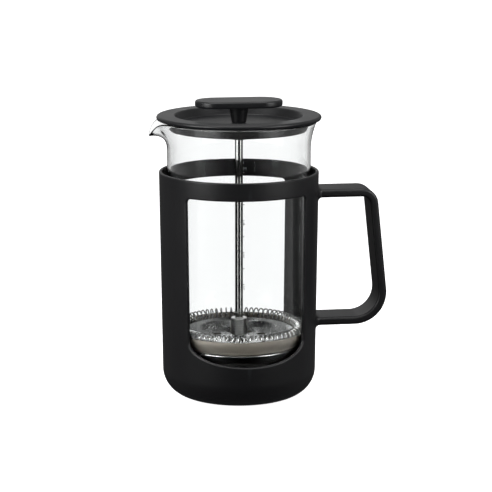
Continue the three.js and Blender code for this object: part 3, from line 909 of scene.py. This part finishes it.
def make_coil_spring():
    low, high = box_mm("coil_spring")
    outside = (high.z - low.z) / 2
    centre = high.y - outside
    level = (high.z + low.z) / 2 + COIL_PROUD
    radius = outside + COIL_PROUD - WIRE_RADIUS
    steps = COIL_TURNS * COIL_TURN_STEPS

    def wire_centre(share):
        around = 2 * math.pi * share
        turn = COIL_TURNS * around
        out = Vector((math.cos(around), math.sin(around), 0))
        away = out * math.cos(turn) + Vector((0, 0, math.sin(turn)))
        return out * centre + Vector((0, 0, level)) + away * radius, away

    rings = []
    for i in range(steps):
        here, away = wire_centre(i / steps)
        ahead = wire_centre((i + 0.01) / steps)[0] - wire_centre((i - 0.01) / steps)[0]
        sideways = ahead.normalized().cross(away)
        ring = []
        for k in range(WIRE_SIDES):
            angle = 2 * math.pi * k / WIRE_SIDES
            ring.append(here + (away * math.cos(angle) + sideways * math.sin(angle)) * WIRE_RADIUS)
        rings.append(ring)
    points, faces = stacked(rings, closed_ends=False)
    last = len(points) - WIRE_SIDES
    for k in range(WIRE_SIDES):
        n = (k + 1) % WIRE_SIDES
        faces.append((last + k, last + n, n, k))
    coil = make_piece("coiled_wire", (points, faces), SPRING_WIRE)
    coil.data.shade_smooth()
    place(coil, "plunger", "steel", "coil_spring")


def make_mesh_filter():
    low, high = box_mm("mesh_filter")
    rim = high.y
    foot = rim - 3.0
    wall_low = low.z + MESH_CORNER
    wall = []
    for i in range(1, 13):
        share = i / 12
        wall.append((foot + (rim - foot) * math.sin(share * math.pi / 2),
                     wall_low + (high.z - wall_low) * share))
    outer = [(BORE_RADIUS, low.z),
             *arc(foot - MESH_CORNER, low.z + MESH_CORNER, MESH_CORNER, -90, 0, 5), *wall]
    inner = [(r - MESH_THICKNESS, z) for r, z in reversed(wall)]
    inner += [*arc(foot - MESH_CORNER, low.z + MESH_CORNER, MESH_CORNER - MESH_THICKNESS, 0, -90, 5),
              (BORE_RADIUS, low.z + MESH_THICKNESS)]
    cup = make_piece("wire_cloth_cup", turned([*outer, *inner], BIG_STEPS, ring=True), WIRE_CLOTH)
    smooth(cup)
    place(cup, "plunger", "wire_mesh", "mesh_filter")


def make_screen_plate():
    low, high = box_mm("screen_plate")
    radius = high.y
    edge = (high.z - low.z) / 2
    section = [(BORE_RADIUS, low.z), (20, low.z), *arc(radius - edge, low.z + edge, edge, -90, 90, 8),
               (20, high.z), (BORE_RADIUS, high.z)]
    plate = make_piece("screen_disc", turned(section, BIG_STEPS, ring=True), PRESSED_STEEL)
    for circle, holes in SCREEN_RINGS:
        punch(plate, circle, holes, SCREEN_HOLE_RADIUS, low.z - 1, high.z + 1)
    smooth(plate, weighted=True)
    place(plate, "plunger", "steel", "screen_plate")


# ------------------------------------------------------------------ studio

def make_floor():
    """A white sweep, lit to the same white as what is behind it."""
    material, tree = new_material("white_sweep")
    spot = add_node(tree, "ShaderNodeTexCoord")["Object"]
    paper = add_node(tree, "ShaderNodeTexNoise", {"Scale": per_metre(3), "Detail": 2.0}, {"Vector": spot})
    bump = add_node(tree, "ShaderNodeBump", {"Strength": 0.05, "Distance": 0.0001}, {"Height": paper["Fac"]})
    give_surface(tree, {"Base Color": linear("#f4f4f4"), "Roughness": 0.9, "Specular IOR Level": 0.0,
                        "Emission Color": linear("#ffffff"), "Emission Strength": 0.95},
                 {"Normal": bump["Normal"]})
    half = 12000
    floor = make_piece("floor", ([(-half, -half, 0), (half, -half, 0), (half, half, 0), (-half, half, 0)],
                                 [(0, 1, 2, 3)]), material)
    floor.visible_glossy = False
    floor.visible_diffuse = False
    floor.visible_transmission = False
    # the tall screens reach below the floor, and it doesn't shade the press from them
    floor.visible_shadow = False


def make_light(name, place_at, width, height, watts, inside_only=False):
    """A soft box; one for the inside only lights what stands in the glass and spares its front."""
    aim = (0, 0, 0.09)
    light = bpy.data.lights.new(name, "AREA")
    light.shape = "RECTANGLE"
    light.size = width
    light.size_y = height
    light.energy = watts
    if inside_only:
        # a path has gone in and out of the beaker once it has crossed more than two glass faces
        light.use_nodes = True
        tree = light.node_tree
        tree.nodes.clear()
        crossed = add_node(tree, "ShaderNodeLightPath")["Transmission Depth"]
        through = add_node(tree, "ShaderNodeMath", {"operation": "GREATER_THAN", 1: 2.5}, {0: crossed})
        glow = add_node(tree, "ShaderNodeEmission", {}, {"Strength": through["Value"]})
        add_node(tree, "ShaderNodeOutputLight", {}, {"Surface": glow["Emission"]})
    lamp = bpy.data.objects.new(name, light)
    lamp.visible_camera = False
    lamp.location = place_at
    lamp.rotation_euler = (Vector(aim) - Vector(place_at)).to_track_quat("-Z", "Y").to_euler()
    bpy.context.scene.collection.objects.link(lamp)


def light_studio():
    """White behind the press, a dim room round it, and soft boxes above and at the sides."""
    world = bpy.data.worlds.new("studio")
    bpy.context.scene.world = world
    world.use_nodes = True
    tree = world.node_tree
    tree.nodes.clear()
    way = add_node(tree, "ShaderNodeTexCoord")["Generated"]
    up = add_node(tree, "ShaderNodeSeparateXYZ", {}, {"Vector": way})
    ceiling = add_node(tree, "ShaderNodeMapRange",
                       {"From Min": -0.3, "From Max": 0.6, "To Min": 0.02, "To Max": 0.35},
                       {"Value": up["Z"]})
    front = add_node(tree, "ShaderNodeMapRange",
                     {"From Min": -0.9, "From Max": -0.2, "To Min": 0.22, "To Max": 1.0},
                     {"Value": up["Y"]})
    aside = add_node(tree, "ShaderNodeMath", {"operation": "ABSOLUTE"}, {0: up["X"]})
    walls = add_node(tree, "ShaderNodeMapRange",
                     {"From Min": 0.45, "From Max": 0.9, "To Min": 0.0, "To Max": 0.05},
                     {"Value": aside["Value"]})
    room = add_node(tree, "ShaderNodeMath", {"operation": "MULTIPLY_ADD"},
                    {0: ceiling["Result"], 1: front["Result"], 2: walls["Result"]})
    path = add_node(tree, "ShaderNodeLightPath")
    crossed = path["Transmission Depth"]
    in_glass = add_node(tree, "ShaderNodeMath", {"operation": "GREATER_THAN", 1: 0.5}, {0: crossed})
    # light that has gone through the glass finds white at its sides
    beside = add_node(tree, "ShaderNodeMapRange",
                      {"From Min": -0.95, "From Max": -0.4, "To Min": 0.0, "To Max": 0.55},
                      {"Value": up["Y"]})
    within = add_node(tree, "ShaderNodeMath", {"operation": "GREATER_THAN", 1: 2.5}, {0: crossed})
    # and what the steel in the beaker mirrors is white only straight behind
    behind = add_node(tree, "ShaderNodeMapRange",
                      {"From Min": 0.8, "From Max": 0.93, "To Min": 0.0, "To Max": 0.9},
                      {"Value": up["Y"]})
    bright = add_node(tree, "ShaderNodeMix", {"data_type": "FLOAT"},
                      {"Factor": within["Value"], "A": beside["Result"], "B": behind["Result"]})
    dim = add_node(tree, "ShaderNodeMath", {"operation": "MULTIPLY_ADD"},
                   {0: in_glass["Value"], 1: bright["Result"], 2: room["Value"]})
    bounces = add_node(tree, "ShaderNodeMath", {"operation": "ADD"},
                       {0: path["Diffuse Depth"], 1: path["Glossy Depth"]})
    seen = add_node(tree, "ShaderNodeMath", {"operation": "LESS_THAN", 1: 0.5}, {0: bounces["Value"]})
    strength = add_node(tree, "ShaderNodeMix", {"data_type": "FLOAT", "B": BACKDROP_WHITE},
                        {"Factor": seen["Value"], "A": dim["Value"]})
    sky = add_node(tree, "ShaderNodeBackground", {"Color": linear("#ffffff")},
                   {"Strength": strength["Result"]})
    add_node(tree, "ShaderNodeOutputWorld", {}, {"Surface": sky["Background"]})
    make_light("top_box", (-0.1, -0.25, 1.3), width=1.1, height=0.9, watts=8)
    make_light("left_box", (-0.42, -0.24, 0.26), width=0.3, height=0.3, watts=1.6)
    make_light("right_box", (0.35, -0.33, 0.26), width=0.3, height=0.3, watts=1.1)
    make_light("back_box", (-0.15, 1.2, 0.4), width=0.9, height=0.5, watts=0.4)
    make_light("left_screen", (-0.917, -0.469, 0.1), width=1.05, height=1.6, watts=12.7, inside_only=True)
    make_light("right_screen", (0.736, -0.721, 0.1), width=0.46, height=1.6, watts=5.5, inside_only=True)


def aim_camera():
    distance = 1.1862
    height = 0.3289
    round_to_left = math.radians(7.9)
    tilt = 0.1999
    camera = bpy.data.cameras.new("camera")
    camera.lens = 150.3
    camera.sensor_width = 36
    camera.clip_end = 100
    stand = bpy.data.objects.new("camera", camera)
    stand.location = (-distance * math.sin(round_to_left), -distance * math.cos(round_to_left), height)
    stand.rotation_euler = (math.pi / 2 - tilt, 0, -0.0035 - round_to_left)
    bpy.context.scene.collection.objects.link(stand)
    bpy.context.scene.camera = stand
    bpy.context.scene.view_settings.view_transform = "Standard"


make_holder()
make_beaker()
make_print()
make_lid()
make_knob()
make_rod()
make_hub()
make_star_washer()
make_nut()
make_spring_plate()
make_coil_spring()
make_mesh_filter()
make_screen_plate()
make_floor()
light_studio()
aim_camera()
